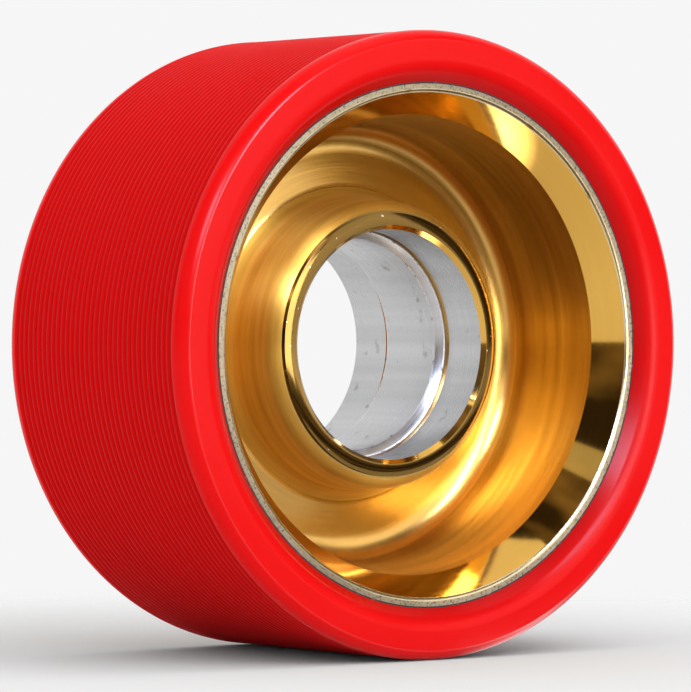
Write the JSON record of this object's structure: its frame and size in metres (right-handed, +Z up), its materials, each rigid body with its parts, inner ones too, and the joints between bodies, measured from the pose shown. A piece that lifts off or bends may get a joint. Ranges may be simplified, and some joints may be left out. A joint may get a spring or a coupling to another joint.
{
  "type": "roller skate wheel",
  "caption": "Roller skate wheel: a red urethane tyre with a fine-grooved tread on a gold anodised aluminium hub, dished at the front, with a bearing seat at each end of its bore.",
  "frame": {"origin": "centre of the tyre, on the axle line", "axes": "+Y along the axle line, from the dished front towards the back; +Z up when the wheel stands on its tread"},
  "size_m": [0.0594, 0.0294, 0.0594],
  "materials": {
    "hub": "gold anodised, brushed in the dish, polished on the cone and bead, bare in the bore",
    "bond": "matt adhesive line",
    "tyre": "soft-gloss urethane with a turned tread"
  },
  "bodies": {
    "root": {"hub": "hub", "bond_coat": "bond", "tyre": "tyre"}
  },
  "joints": []
}
